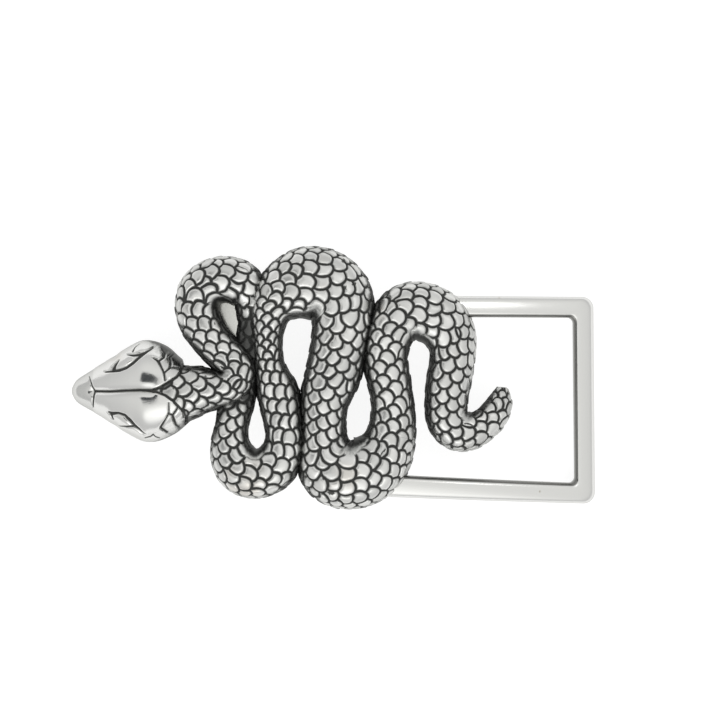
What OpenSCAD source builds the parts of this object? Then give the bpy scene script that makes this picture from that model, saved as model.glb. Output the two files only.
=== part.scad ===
// Snake hook buckle: a cast, coiled snake that carries a strap loop on its right
// and a plain hook behind its neck. It lies face up, and its back is bowed to the waist.
// Millimetres. +X runs from the nose to the loop, +Y across the belt, +Z up from the table.

/* [Belt] */
// Width of the strap that the loop takes
strap_w = 30; // [26:1:32]
// Room beside the strap inside the loop
strap_room = 1.5; // [0.5:0.5:2]
// Radius that the back is bowed to
bow_r = 186; // [150:1:260]

/* [Snake] */
// Largest height of the head above the back
head_h = 8.4; // [7:0.1:10]
// How much of the drawn height the coils get
coil_h = 1; // [0.8:0.05:1.2]
// How far a scale stands above the grooves round it
scale_rise = 0.39; // [0.2:0.01:0.6]
// Distance between two rings of scale corners along the body
ring_step = 1.7; // [1.5:0.05:3]
// Depth of the groove down the middle of the head
crown_groove = 0.6; // [0.2:0.1:1]

/* [Strap loop] */
// Width of the loop's bar, seen from above
bar_w = 4; // [3:0.1:4.4]
// Thickness of the loop's bar
bar_t = 3; // [2.4:0.1:3.4]
// Rounding of the bar's upper edges
bar_round = 1; // [0.4:0.1:1.2]
// Radius of the loop's outer corners
loop_corner_out = 2.2; // [1.6:0.1:3]
// Radius of the loop's inner corners
loop_corner_in = 1.1; // [0.6:0.1:1.5]
// How far the lower bar runs down towards the right
lower_bar_fall = 1.8; // [0:0.1:2.5]

/* [Hook] */
// Width of the hook's strip
hook_w = 6.4; // [5:0.1:7]
// Thickness of the hook's strip
hook_t = 1.7; // [1.4:0.1:2]
// Length of the hook's free tongue
tongue_len = 10; // [8:0.5:12]

/* [Hidden] */

// Where the bow is highest, and how high the back lies there: the loop's lower edge touches the table
bow_x = -9.5;
loop_right_x = 49.6;
bar_edge = 0.4;
right_bar_lean = 0.15;
bow_top = pow(loop_right_x + right_bar_lean - bar_edge - bow_x, 2) / (2 * bow_r);

// Gap between the pieces
fit_gap = 0.1;

// Columns of the tables of sections
CX = 0;
CY = 1;
CW = 2;
CH = 3;

// Middle line of the snake from the back of the head to the front loop: place, width and height above the back
fore_coil = [
    // x, y, w, h
    [-29.6, -3.0, 11.8, 7.9],
    [-27.4, -2.8, 10.2, 7.6],
    [-24.7, -2.1, 9.0, 7.4],
    [-21.9, -2.2, 7.2, 7.2],
    [-19.3, -1.5, 6.7, 7.0],
    [-17.6, 0.2, 6.7, 6.9],
    [-18.2, 2.4, 6.9, 6.8],
    [-20.2, 4.1, 7.3, 6.6],
    [-22.3, 6.3, 7.3, 6.5],
    [-25.0, 10.3, 8.0, 6.4],
    [-25.9, 14.2, 8.2, 6.4],
    [-24.0, 17.4, 8.4, 6.4],
    [-20.3, 18.4, 8.6, 6.3],
    [-16.7, 17.0, 8.2, 5.9],
    [-14.9, 13.2, 5.6, 4.2],
];
// Middle line from the front loop, under the neck and through the lower bends and arches to the tail tip
aft_coil = [
    // x, y, w, h
    [-15.9, 15.9, 5.6, 4.6],
    [-14.9, 13.6, 7.6, 5.0],
    [-15.0, 9.3, 6.3, 3.8],
    [-16.0, 4.9, 6.2, 3.4],
    [-17.1, 0.0, 6.2, 3.4],
    [-18.3, -4.5, 6.8, 4.4],
    [-19.1, -8.6, 6.2, 5.6],
    [-19.5, -12.3, 7.3, 6.2],
    [-18.1, -16.4, 9.2, 6.4],
    [-14.5, -17.9, 9.2, 6.4],
    [-10.7, -16.0, 8.7, 6.3],
    [-9.3, -12.3, 7.5, 6.1],
    [-9.4, -9.0, 7.3, 6.0],
    [-10.0, -5.6, 7.8, 6.0],
    [-10.6, -2.2, 7.8, 6.0],
    [-12.0, 1.4, 5.9, 6.0],
    [-12.4, 5.6, 5.4, 6.0],
    [-12.4, 9.3, 6.2, 6.3],
    [-11.5, 13.4, 8.6, 6.7],
    [-9.1, 16.0, 11.6, 7.0],
    [-5.5, 17.4, 14.0, 7.2],
    [-1.5, 17.1, 13.6, 7.2],
    [1.1, 14.1, 12.8, 7.1],
    [1.5, 9.9, 11.5, 7.0],
    [0.8, 5.6, 10.8, 6.9],
    [-0.2, 0.7, 10.5, 6.7],
    [-1.8, -3.7, 9.4, 6.5],
    [-2.0, -8.2, 8.4, 6.4],
    [-1.9, -12.1, 9.4, 6.5],
    [-0.6, -16.2, 13.6, 6.8],
    [3.5, -17.7, 13.6, 7.0],
    [7.9, -15.9, 12.2, 6.9],
    [10.3, -11.9, 9.8, 6.6],
    [10.9, -7.8, 8.6, 6.4],
    [10.8, -4.1, 8.0, 6.3],
    [10.0, 0.4, 8.3, 6.3],
    [9.4, 4.5, 8.5, 6.4],
    [10.6, 9.1, 9.4, 6.6],
    [12.9, 12.0, 10.8, 6.7],
    [16.2, 12.3, 11.2, 6.7],
    [19.6, 11.0, 10.8, 6.6],
    [21.9, 7.7, 9.5, 6.4],
    [22.1, 3.4, 8.5, 6.2],
    [21.5, -0.4, 8.6, 6.0],
    [21.0, -4.4, 8.1, 5.8],
    [21.5, -8.4, 8.2, 5.5],
    [24.4, -10.3, 7.5, 5.2],
    [27.8, -9.1, 6.2, 4.8],
    [30.3, -6.7, 5.7, 4.4],
    [31.4, -4.0, 4.6, 3.8],
    [31.6, -1.8, 1.8, 2.6],
];

// Outline and ridge line of the head, from the nose tip back: distance, middle, half width and height over head_h
nose_x = -49.6;
head_mid_y = -2.4;
head = [
    // from nose, middle, half width, height share
    [0.0, -2.5, 0.9, 0.22],
    [0.5, -2.5, 1.9, 0.33],
    [1.8, -2.5, 2.8, 0.42],
    [4.8, -2.4, 4.5, 0.58],
    [7.7, -2.4, 6.2, 0.74],
    [10.7, -2.4, 8.1, 0.88],
    [12.9, -2.4, 9.3, 0.96],
    [14.5, -2.5, 9.6, 1.00],
    [16.5, -2.6, 9.3, 1.00],
    [18.7, -2.7, 8.3, 0.97],
    [20.4, -3.0, 7.0, 0.93],
    [22.5, -2.8, 5.3, 0.90],
];
HX = 0;
HY = 1;
HW = 2;
HH = 3;

// The back's height above the table at a place along the belt
function back_z(x) = bow_top - pow(x - bow_x, 2) / (2 * bow_r);

// A smooth curve through four rows of a table, t from 0 to 1 between the middle two
function curve(a, b, c, d, t) =
    0.5 * (2 * b + (c - a) * t + (2 * a - 5 * b + 4 * c - d) * t * t + (3 * b - a - 3 * c + d) * t * t * t);

function row(table, i) = table[max(0, min(len(table) - 1, i))];

// Rows at about even steps along a table's curve
function even_rows(table, step) = [
    for (i = [0:len(table) - 2])
        let (
            long = norm([table[i + 1][0] - table[i][0], table[i + 1][1] - table[i][1]]),
            n = max(1, round(long / step))
        )
        for (k = [0:n - 1]) curve(row(table, i - 1), table[i], table[i + 1], row(table, i + 2), k / n),
    table[len(table) - 1],
];

function unit(v) = v / max(norm(v), 0.0001);

// Points are kept to a hundredth of a millimetre
function on_grid(p) = [for (v = p) round(v * 100) / 100];

function flat_dir(rows, i) =
    let (a = row(rows, i - 1), b = row(rows, i + 1))
    unit([b[CX] - a[CX], b[CY] - a[CY]]);

function left_of(rows, i) = let (d = flat_dir(rows, i)) [-d[1], d[0]];

// How far to the left of ring i its line meets the line of ring k
function meets(rows, i, k) =
    let (
        a = rows[i],
        b = row(rows, k),
        la = left_of(rows, i),
        lb = left_of(rows, max(0, min(len(rows) - 1, k))),
        turn = la[0] * lb[1] - la[1] * lb[0]
    )
    abs(turn) < 0.001 ? 1000 : ((b[CX] - a[CX]) * lb[1] - (b[CY] - a[CY]) * lb[0]) / turn;

// How far ring i may reach to one side, 1 for left and -1 for right, and stay clear of its neighbours
near_rings = 1;
function side_limit(rows, i, side) =
    min([
        for (k = [-near_rings:near_rings])
            if (k != 0)
                let (t = side * meets(rows, i, i + k))
                t > 0 ? 0.92 * t : 1000,
    ]);

// Rounded body section: a place from 0 at the left foot to 1 at the right foot gives offset and height shares
section_power = 0.72;
function round_share(v) = sign(v) * pow(abs(v), section_power);

across = 9;

// Forms reach this far below the back before the back is cut
root = 1.8;
function foot_height(z) = z < 0.01 ? -root : z;

// Corner points of one ring: scale middles stand scale_rise above the rest
function ring_places(i) =
    i % 2 == 0
        ? [for (j = [0:across]) 2 * j]
        : concat([0], [for (j = [1:across]) 2 * j - 1], [2 * across]);

function is_middle(place, i) =
    place > 0 && place < 2 * across && (i % 2 == 0 ? place % 6 == 0 : place % 6 == 3);

function ring(rows, i) =
    let (
        r = rows[i],
        left = left_of(rows, i),
        left_limit = side_limit(rows, i, 1),
        right_limit = side_limit(rows, i, -1),
        half = r[CW] / 2
    )
    [
        for (p = ring_places(i))
            let (
                a = 180 * p / (2 * across),
                lift = is_middle(p, i) ? scale_rise : 0,
                share = round_share(cos(a)),
                reach = min(half + lift * abs(share), share > 0 ? left_limit : right_limit),
                x = r[CX] + left[0] * share * reach,
                y = r[CY] + left[1] * share * reach
            )
            on_grid([x, y, back_z(x) + foot_height((r[CH] * coil_h + lift) * round_share(sin(a)))]),
    ];

// One strip of triangles between ring i, with its first point at s, and ring i + 1
function strip(i, s) =
    let (
        n = len(ring_places(i)),
        t = s + n,
        wide = i % 2 == 0
    )
    wide
        ? concat(
              [for (j = [0:across]) [s + j, t + j + 1, t + j]],
              [for (j = [0:across - 1]) [s + j, s + j + 1, t + j + 1]]
          )
        : concat(
              [for (j = [0:across]) [t + j, s + j, s + j + 1]],
              [for (j = [0:across - 1]) [t + j, s + j + 1, t + j + 1]]
          );

// Rings where the body turns round, so that no length between two of them crosses itself
function turning(rows, i) =
    let (a = flat_dir(rows, i - 1), b = flat_dir(rows, i))
    a[0] * b[0] < 0 || a[1] * b[1] < 0;

function turns(rows) = concat([0], [for (i = [2:len(rows) - 3]) if (turning(rows, i)) i], [len(rows) - 1]);

// Point inside a ring, about which its end face is drawn
function ring_middle(r) = on_grid([r[CX], r[CY], back_z(r[CX]) + 0.4 * r[CH]]);

// One length of the scaled body, from ring number first to ring number last
module body_length(rows, first, last) {
    rings = [for (i = [first:last]) ring(rows, i)];
    sizes = [for (r = rings) len(r)];
    starts = [for (i = 0, s = 0; i < len(rings); s = s + sizes[i], i = i + 1) s];
    end = last - first;
    points = concat([for (r = rings) each r], [ring_middle(rows[first]), ring_middle(rows[last])]);
    first_middle = len(points) - 2;
    last_middle = len(points) - 1;
    faces = concat(
        [for (i = [0:end - 1]) each strip(first + i, starts[i])],
        [for (i = [0:end - 1]) each [
            [starts[i], starts[i + 1], starts[i + 1] + sizes[i + 1] - 1],
            [starts[i], starts[i + 1] + sizes[i + 1] - 1, starts[i] + sizes[i] - 1],
        ]],
        [for (j = [0:sizes[0] - 1]) [first_middle, (j + 1) % sizes[0], j]],
        [for (j = [0:sizes[end] - 1]) [last_middle, starts[end] + j, starts[end] + (j + 1) % sizes[end]]]
    );
    polyhedron(points, [for (f = faces) [f[0], f[2], f[1]]], convexity = 12);
}

// The scaled body along all rows of a table
module scaled_body(rows) {
    t = turns(rows);
    for (k = [0:len(t) - 2]) body_length(rows, t[k], t[k + 1]);
}

// Cross section of the head: places across it from -1 to 1
head_across = [-1, -0.98, -0.9, -0.75, -0.55, -0.32, -0.1, 0, 0.1, 0.32, 0.55, 0.75, 0.9, 0.98, 1];

// The two crown plates swell beside the groove and fall away to the cheeks
function crown(v) = pow(max(0, 1 - pow(abs(v), 2.6)), 0.5);

function head_ring(r) = [
    for (v = head_across)
        let (
            x = nose_x + r[HX],
            groove = v == 0 && r[HX] > 3 && r[HX] < 16 ? crown_groove : 0
        )
        on_grid([x, r[HY] + v * r[HW], back_z(x) + foot_height(head_h * r[HH] * crown(v)) - groove]),
];

module head_form() {
    rings = [for (r = even_rows(head, 1.5)) head_ring(r)];
    n = len(rings);
    k = len(head_across);
    points = [for (r = rings) each r];
    faces = concat(
        [for (i = [0:n - 2], j = [0:k - 2]) each [
            [i * k + j, i * k + j + 1, (i + 1) * k + j + 1],
            [i * k + j, (i + 1) * k + j + 1, (i + 1) * k + j],
        ]],
        [for (i = [0:n - 2]) each [
            [i * k, (i + 1) * k, (i + 1) * k + k - 1],
            [i * k, (i + 1) * k + k - 1, i * k + k - 1],
        ]],
        [for (j = [1:k - 2]) [0, j + 1, j]],
        [for (j = [1:k - 2]) [(n - 1) * k, (n - 1) * k + j, (n - 1) * k + j + 1]]
    );
    polyhedron(points, [for (f = faces) [f[0], f[1], f[2]]], convexity = 6);
}

// Everything below the bowed back, in even steps along the belt
back_steps = 28;
module below_back() {
    x0 = nose_x - 3;
    long = 90;
    rotate([90, 0, 0])
        linear_extrude(height = 60, center = true)
            polygon([
                for (i = [0:back_steps]) let (x = x0 + long * i / back_steps) on_grid([x, back_z(x)]),
                [x0 + long, -10],
                [x0, -10],
            ]);
}

// A long bead between two points of the head, for the brows and eyes
module bead(a, b, r_a, r_b) {
    hull() {
        translate(a) sphere(r = r_a, $fn = 8);
        translate(b) sphere(r = r_b, $fn = 8);
    }
}

// Point on the head: distance from the nose, share across and how deep it is sunk
function on_head(from_nose, v, width, share, sink) =
    let (x = nose_x + from_nose)
    on_grid([x, head_mid_y + v * width, back_z(x) + head_h * share * crown(v) - sink]);

// Brow, cheek, lip and the swelling behind them on one side of the head
module head_side(side) {
    brow_front = on_head(7.56, 0.744 * side, 6.2, 0.74, 0.59);
    brow_back = on_head(10.54, 0.698 * side, 8.1, 0.88, 0.46);
    cheek_front = on_head(9.55, 0.853 * side, 7.4, 0.82, 0.82);
    cheek_back = on_head(13.36, 0.822 * side, 9.4, 0.98, 0.88);
    lip_front = on_head(4.68, 0.835 * side, 4.4, 0.57, 0.79);
    lip_back = on_head(7.65, 0.849 * side, 6.4, 0.77, 0.57);
    swelling_front = on_head(14.53, 0.52 * side, 9.5, 1.0, 1.05);
    swelling_back = on_head(18.10, 0.47 * side, 8.7, 0.98, 1.13);
    bead(brow_front, brow_back, 0.8, 1.0);
    bead(cheek_front, cheek_back, 0.8, 1.2);
    bead(lip_front, lip_back, 0.5, 0.7);
    bead(swelling_front, swelling_back, 1.3, 1.2);
}

// Half profile of the loop's bar: shares of its width, and heights, from the lower inner edge round
bar_profile = [
    // share of the width, height
    [bar_edge / bar_w, 0],
    [1 - bar_edge / bar_w, 0],
    [1, bar_edge],
    [1, bar_t - bar_round],
    [1 - 0.29 * bar_round / bar_w, bar_t - 0.29 * bar_round],
    [1 - bar_round / bar_w, bar_t],
    [bar_round / bar_w, bar_t],
    [0.29 * bar_round / bar_w, bar_t - 0.29 * bar_round],
    [0, bar_t - bar_round],
    [0, bar_edge],
];

// Inside of the loop, as its four corners; the left side bar lies hidden in the snake's back
window_top = 11.4;
window_left_x = 12.47;
window_right_x = loop_right_x - bar_w;
window_low_right = window_top - strap_w - strap_room;
window_low_left = window_low_right + lower_bar_fall;

// Corner places of an outline that lies grow outside the window, counter-clockwise from the lower left
function loop_corners(grow) = [
    [window_left_x - grow, window_low_left - grow],
    [window_right_x + right_bar_lean + grow, window_low_right - grow],
    [window_right_x - right_bar_lean + grow, window_top + grow],
    [window_left_x - grow, window_top + grow],
];

corner_steps = 4;
side_steps = 5;

// Rounded corner number i of the outline, as points that run counter-clockwise
function corner_arc(c, i, r) =
    let (
        inward = [i == 0 || i == 3 ? 1 : -1, i < 2 ? 1 : -1],
        start = 180 + 90 * i
    )
    [
        for (k = [0:corner_steps])
            let (a = start + 90 * k / corner_steps)
            c[i] + r * inward + r * [cos(a), sin(a)],
    ];

// Outline with rounded corners and side_steps pieces along each side
function loop_line(grow, r) =
    let (c = loop_corners(grow))
    [
        for (i = [0:3])
            let (
                arc = corner_arc(c, i, r),
                from = arc[corner_steps],
                to = corner_arc(c, (i + 1) % 4, r)[0]
            )
            each concat(arc, [for (k = [1:side_steps - 1]) from + (to - from) * k / side_steps]),
    ];

// The loop's bar, or the room that it needs in the snake's back when it is made larger by room
module loop_bar(room) {
    inner = loop_line(-room, max(0.3, loop_corner_in - room));
    outer = loop_line(bar_w + room, loop_corner_out + room);
    n = len(inner);
    k = len(bar_profile);
    points = [
        for (i = [0:n - 1], p = bar_profile)
            let (
                q = inner[i] + (outer[i] - inner[i]) * p[0],
                z = p[1] > 0.01 ? p[1] + room : p[1] - 10 * room
            )
            on_grid([q[0], q[1], back_z(q[0]) + z]),
    ];
    faces = [
        for (i = [0:n - 1], j = [0:k - 1])
            let (a = i * k, b = ((i + 1) % n) * k, j2 = (j + 1) % k)
            each [[a + j, b + j2, b + j], [a + j, a + j2, b + j2]],
    ];
    polyhedron(points, faces, convexity = 6);
}

// The hook: a plate on the back, a strip forward along the back, a round end and a flat tongue on the table
plate_x = -19.6;
plate_w = 5;
plate_top_y = 14.5;
plate_low_y = -14.5;
plate_t = 1.4;
hook_y = -1.6;

// The round end leaves the back at hook_turn_x, at the back's own slope, and comes round to the table
hook_turn_x = -31;
hook_slope = atan((bow_x - hook_turn_x) / bow_r);
hook_turn_z = back_z(hook_turn_x) - fit_gap;
hook_r = hook_turn_z / (1 + cos(hook_slope));
hook_mid = [hook_turn_x + hook_r * sin(hook_slope), hook_r];

// A flat strip that follows the back from x0 to x1
module bowed_strip(x0, x1, thick) {
    n = 12;
    top = [for (i = [0:n]) let (x = x0 + (x1 - x0) * i / n) [x, back_z(x) - fit_gap]];
    polygon(concat(top, [for (i = [n:-1:0]) top[i] - [0, thick]]));
}

// Side view of the strip, round end and tongue
module hook_side() {
    tongue_x = hook_mid[0] - hook_r + tongue_len;
    bowed_strip(hook_turn_x, plate_x + plate_w / 2, hook_t);
    translate([hook_mid[0], 0]) square([tongue_x - hook_t / 2 - hook_mid[0], hook_t]);
    translate([tongue_x - hook_t / 2, hook_t / 2]) circle(r = hook_t / 2, $fn = 32);
    difference() {
        translate(hook_mid) circle(r = hook_r, $fn = 72);
        translate(hook_mid) circle(r = hook_r - hook_t, $fn = 72);
        translate(hook_mid) rotate(-90) square([2 * hook_r, hook_r + 1]);
        translate(hook_mid) rotate(-hook_slope / 2) square([2 * hook_r, 2 * hook_r]);
        translate([hook_mid[0], 0]) square([2 * hook_r, 2 * hook_r]);
    }
}

module upright_plate(y0, y1) {
    translate([0, y1, 0]) rotate([90, 0, 0]) linear_extrude(height = y1 - y0) children();
}

module back_hook() {
    color("gainsboro") {
        upright_plate(plate_low_y, plate_top_y)
            bowed_strip(plate_x - plate_w / 2, plate_x + plate_w / 2, plate_t);
        upright_plate(hook_y - hook_w / 2, hook_y + hook_w / 2)
            hook_side();
    }
}

module belt_loop() {
    color("silver") loop_bar(0);
}

module snake() {
    color("lightgray")
    difference() {
        union() {
            head_form();
            for (side = [-1, 1]) head_side(side);
            scaled_body(even_rows(fore_coil, ring_step));
            scaled_body(even_rows(aft_coil, ring_step));
        }
        below_back();
        loop_bar(fit_gap);
    }
}

snake();
belt_loop();
back_hook();
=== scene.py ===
"""Snake hook buckle, dressed for the studio: scaled body, head, loop and hook."""

import logging
import math
from dataclasses import dataclass, field
from enum import Enum

import bmesh
import bpy
import numpy as np
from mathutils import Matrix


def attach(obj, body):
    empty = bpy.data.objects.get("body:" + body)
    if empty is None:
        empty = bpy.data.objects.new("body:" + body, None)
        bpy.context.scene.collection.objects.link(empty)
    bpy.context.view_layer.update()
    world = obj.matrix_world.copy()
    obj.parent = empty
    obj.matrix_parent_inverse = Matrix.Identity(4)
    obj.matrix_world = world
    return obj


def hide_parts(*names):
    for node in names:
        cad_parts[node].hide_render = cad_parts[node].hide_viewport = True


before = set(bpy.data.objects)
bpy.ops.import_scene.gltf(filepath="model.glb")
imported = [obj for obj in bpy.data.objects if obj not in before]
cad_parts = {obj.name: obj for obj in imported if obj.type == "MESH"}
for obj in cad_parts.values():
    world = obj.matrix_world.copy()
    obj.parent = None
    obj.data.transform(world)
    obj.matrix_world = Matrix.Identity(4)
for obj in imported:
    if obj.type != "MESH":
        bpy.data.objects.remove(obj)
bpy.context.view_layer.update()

log = logging.getLogger("buckle")

MM = 0.001
WELD = 1e-7
TINY = 1e-9
FAR = 1e3
# Points of a drawn section, and between two rows of a table
FINE = 4000
SPAN_POINTS = 40
# Heights above the back over which relief fades in at the foot of a skin, in mm
FOOT = (0.1, 1.2)
# Depth and reach of the dip where the neck and the head meet, in mm
TUCK_DEPTH = 1.6
TUCK_REACH = 0.7

Array = np.ndarray
Table = list[tuple[float, float, float, float]]
Line = list[tuple[float, ...]]
Colour = tuple[float, float, float]
Place = tuple[float, float, float]
Span = tuple[float, float]

# Middle line of the snake from under the head to the front loop:
# place, width and height above the back, in mm
FORE_COIL: Table = [
    (-35.5, -2.4, 12.6, 8.0),
    (-32.5, -2.7, 12.4, 8.0),
    (-29.6, -3.0, 11.8, 7.9),
    (-27.4, -2.8, 10.2, 7.6),
    (-24.7, -2.1, 9.0, 7.4),
    (-21.9, -2.2, 7.2, 7.2),
    (-19.3, -1.5, 6.7, 7.0),
    (-17.6, 0.2, 6.7, 6.9),
    (-18.2, 2.4, 6.9, 6.8),
    (-20.2, 4.1, 7.3, 6.6),
    (-22.3, 6.3, 7.3, 6.5),
    (-25.0, 10.3, 8.0, 6.4),
    (-25.9, 14.2, 8.2, 6.4),
    (-24.0, 17.4, 8.4, 6.4),
    (-20.3, 18.4, 8.6, 6.3),
    (-16.7, 17.0, 8.2, 5.9),
    (-14.9, 13.2, 5.6, 4.2),
]

# The same from the front loop, under the neck and through the lower bends and arches to the tail tip
AFT_COIL: Table = [
    (-15.9, 15.9, 5.6, 4.6),
    (-14.9, 13.6, 7.6, 5.0),
    (-15.0, 9.3, 6.3, 3.8),
    (-16.0, 4.9, 6.2, 3.4),
    (-17.1, 0.0, 6.2, 3.4),
    (-18.3, -4.5, 6.8, 4.4),
    (-19.1, -8.6, 6.2, 5.6),
    (-19.5, -12.3, 7.3, 6.2),
    (-18.1, -16.4, 9.2, 6.4),
    (-14.5, -17.9, 9.2, 6.4),
    (-10.7, -16.0, 8.7, 6.3),
    (-9.3, -12.3, 7.5, 6.1),
    (-9.4, -9.0, 7.3, 6.0),
    (-10.0, -5.6, 7.8, 6.0),
    (-10.6, -2.2, 7.8, 6.0),
    (-12.0, 1.4, 5.9, 6.0),
    (-12.4, 5.6, 5.4, 6.0),
    (-12.4, 9.3, 6.2, 6.3),
    (-11.5, 13.4, 8.6, 6.7),
    (-9.1, 16.0, 11.6, 7.0),
    (-5.5, 17.4, 14.0, 7.2),
    (-1.5, 17.1, 13.6, 7.2),
    (1.1, 14.1, 12.8, 7.1),
    (1.5, 9.9, 11.5, 7.0),
    (0.8, 5.6, 10.8, 6.9),
    (-0.2, 0.7, 10.5, 6.7),
    (-1.8, -3.7, 9.4, 6.5),
    (-2.0, -8.2, 8.4, 6.4),
    (-1.9, -12.1, 9.4, 6.5),
    (-0.6, -16.2, 13.6, 6.8),
    (3.5, -17.7, 13.6, 7.0),
    (7.9, -15.9, 12.2, 6.9),
    (10.3, -11.9, 9.8, 6.6),
    (10.9, -7.8, 8.6, 6.4),
    (10.8, -4.1, 8.0, 6.3),
    (10.0, 0.4, 8.3, 6.3),
    (9.4, 4.5, 8.5, 6.4),
    (10.6, 9.1, 9.4, 6.6),
    (12.9, 12.0, 10.8, 6.7),
    (16.2, 12.3, 11.2, 6.7),
    (19.6, 11.0, 10.8, 6.6),
    (21.9, 7.7, 9.5, 6.4),
    (22.1, 3.4, 8.5, 6.2),
    (21.5, -0.4, 8.6, 6.0),
    (21.0, -4.4, 8.1, 5.8),
    (21.5, -8.4, 8.2, 5.5),
    (24.4, -10.3, 7.5, 5.2),
    (27.8, -9.1, 6.2, 4.8),
    (30.3, -6.7, 5.7, 4.4),
    (31.4, -4.0, 4.6, 3.8),
    (31.6, -1.8, 1.8, 2.6),
]

# Head from the nose tip back: distance, middle, half width and share of the head's height
HEAD_SECTIONS: Table = [
    (0.0, -2.5, 0.9, 0.22),
    (0.5, -2.5, 1.9, 0.33),
    (1.8, -2.5, 2.8, 0.42),
    (4.8, -2.4, 4.5, 0.58),
    (7.7, -2.4, 6.2, 0.74),
    (10.7, -2.4, 8.1, 0.88),
    (12.9, -2.4, 9.3, 0.96),
    (14.5, -2.5, 9.6, 1.00),
    (16.5, -2.6, 9.3, 1.00),
    (18.7, -2.7, 8.3, 0.97),
    (20.4, -3.0, 7.0, 0.93),
    (22.5, -2.8, 5.3, 0.90),
]

# Edge between the head's plates and the neck's scales, from the lower side to the upper side
NECK_EDGE: Line = [
    (-27.9, -8.9), (-27.3, -7.6), (-27.7, -6.2), (-28.6, -5.2), (-29.6, -4.1),
    (-31.0, -3.1), (-32.7, -2.5), (-33.5, -2.3), (-31.9, -1.7), (-30.2, -0.7),
    (-29.0, 0.2), (-28.3, 1.2), (-28.1, 2.1), (-28.2, 2.9), (-29.4, 4.6),
]


class Layer(Enum):
    """Values that each vertex of a cast piece carries for its finish."""

    GROOVE = "groove"
    # How much sky a place sees; the finishes paint shade into the colour where it is low
    OPEN = "open_air"
    SHADE = "scale_shade"


class Slot(Enum):
    """Names of two material slots, which the pieces made here don't use."""

    ANTIQUED = "antiqued_silver"
    PLAIN = "plain_silver"


@dataclass(frozen=True)
class BowedBack:
    """The back of the casting, bowed along the belt, in mm."""

    bow_x: float = -9.5
    bow_r: float = 186.0
    reach: float = 58.85

    def height(self, x: Array) -> Array:
        """Height of the back above the table at places along the belt."""
        return (self.reach**2 - (x - self.bow_x) ** 2) / (2 * self.bow_r)

    def above(self, places: Array) -> Array:
        """Heights of places above the back."""
        return places[..., 2] - self.height(places[..., 0])


BACK = BowedBack()


def smooth(values: Array, sigma: float) -> Array:
    """Runs a soft average along the first axis, with the ends held.

    Args:
        values: one row for each step.
        sigma: how many steps the average reaches.

    Returns:
        The smoothed rows.
    """
    reach = int(3 * sigma) + 1
    weights = np.exp(-0.5 * (np.arange(-reach, reach + 1) / sigma) ** 2)
    weights /= weights.sum()
    flat = values.reshape(len(values), -1)
    head = 2 * flat[0] - flat[reach:0:-1]
    tail = 2 * flat[-1] - flat[-2 : -reach - 2 : -1]
    padded = np.vstack([head, flat, tail])
    out = np.stack([np.convolve(c, weights, "valid") for c in padded.T], axis=1)
    return out.reshape(values.shape)


def ramp(values: Array, low: float, high: float) -> Array:
    """Smooth step from 0 at low to 1 at high."""
    t = np.clip((values - low) / (high - low), 0.0, 1.0)
    return t * t * (3 - 2 * t)


def foot_fade(places: Array) -> Array:
    """Share of the relief that a skin takes at its places, 0 at its foot."""
    return ramp(BACK.above(places), *FOOT)


def run_along(points: Array) -> Array:
    """Distance to each point of a row of points, along the row."""
    return np.concatenate([[0], np.cumsum(np.hypot(*np.diff(points, axis=0).T))])


def close_under(top: Array, columns: int, rise: Array | float, power: float) -> Array:
    """Adds the columns that close a skin along the bowed back.

    Args:
        top: the columns over the piece.
        columns: how many are added.
        rise: how far the middle of them stands above the back, in mm.
        power: the power of the rise's arch, below 1 for a flatter one.

    Returns:
        All the columns.
    """
    share = np.linspace(0, 1, columns + 1)[1:, None]
    under = top[:, -1:] * (1 - share) + top[:, :1] * share
    under[..., 2] = BACK.height(under[..., 0]) + rise * np.sin(np.pi * share.T) ** power
    return np.concatenate([top, under], axis=1)


def curve_through(table: Table, step: float) -> Array:
    """Follows a smooth curve through the rows of a table.

    Args:
        table: rows of four numbers, of which the first two are a place.
        step: wanted distance between the places of the result.

    Returns:
        Rows at even distances along the curve.
    """
    rows = np.array(table)
    t = np.linspace(0, 1, SPAN_POINTS, endpoint=False)[:, None]
    spans = []
    for i in range(len(rows) - 1):
        a, b, c, d = rows[max(i - 1, 0)], rows[i], rows[i + 1], rows[min(i + 2, len(rows) - 1)]
        square = 2 * a - 5 * b + 4 * c - d
        cube = 3 * b - a - 3 * c + d
        spans.append(0.5 * (2 * b + (c - a) * t + square * t**2 + cube * t**3))
    dense = np.vstack([*spans, rows[-1:]])
    run = run_along(dense[:, :2])
    places = np.linspace(0, run[-1], round(run[-1] / step) + 1)
    return np.stack([np.interp(places, run, c) for c in dense.T], axis=1)


def line_distance(x: Array, y: Array, line: Line) -> tuple[Array, Array]:
    """Measures places against a drawn line, seen from above.

    Args:
        x: first coordinates.
        y: second coordinates.
        line: points of the line, each with an optional width as third number.

    Returns:
        The distance to the line, and the line's width at the nearest point of it.
    """
    best = np.full(x.shape, FAR)
    width = np.zeros(x.shape)
    for a, b in zip(line, line[1:]):
        dx, dy = b[0] - a[0], b[1] - a[1]
        t = np.clip(((x - a[0]) * dx + (y - a[1]) * dy) / (dx * dx + dy * dy), 0, 1)
        d = np.hypot(x - a[0] - t * dx, y - a[1] - t * dy)
        wide_a = a[2] if len(a) > 2 else 0.0
        wide_b = b[2] if len(b) > 2 else 0.0
        nearer = d < best
        best = np.where(nearer, d, best)
        width = np.where(nearer, wide_a + t * (wide_b - wide_a), width)
    return best, width


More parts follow.
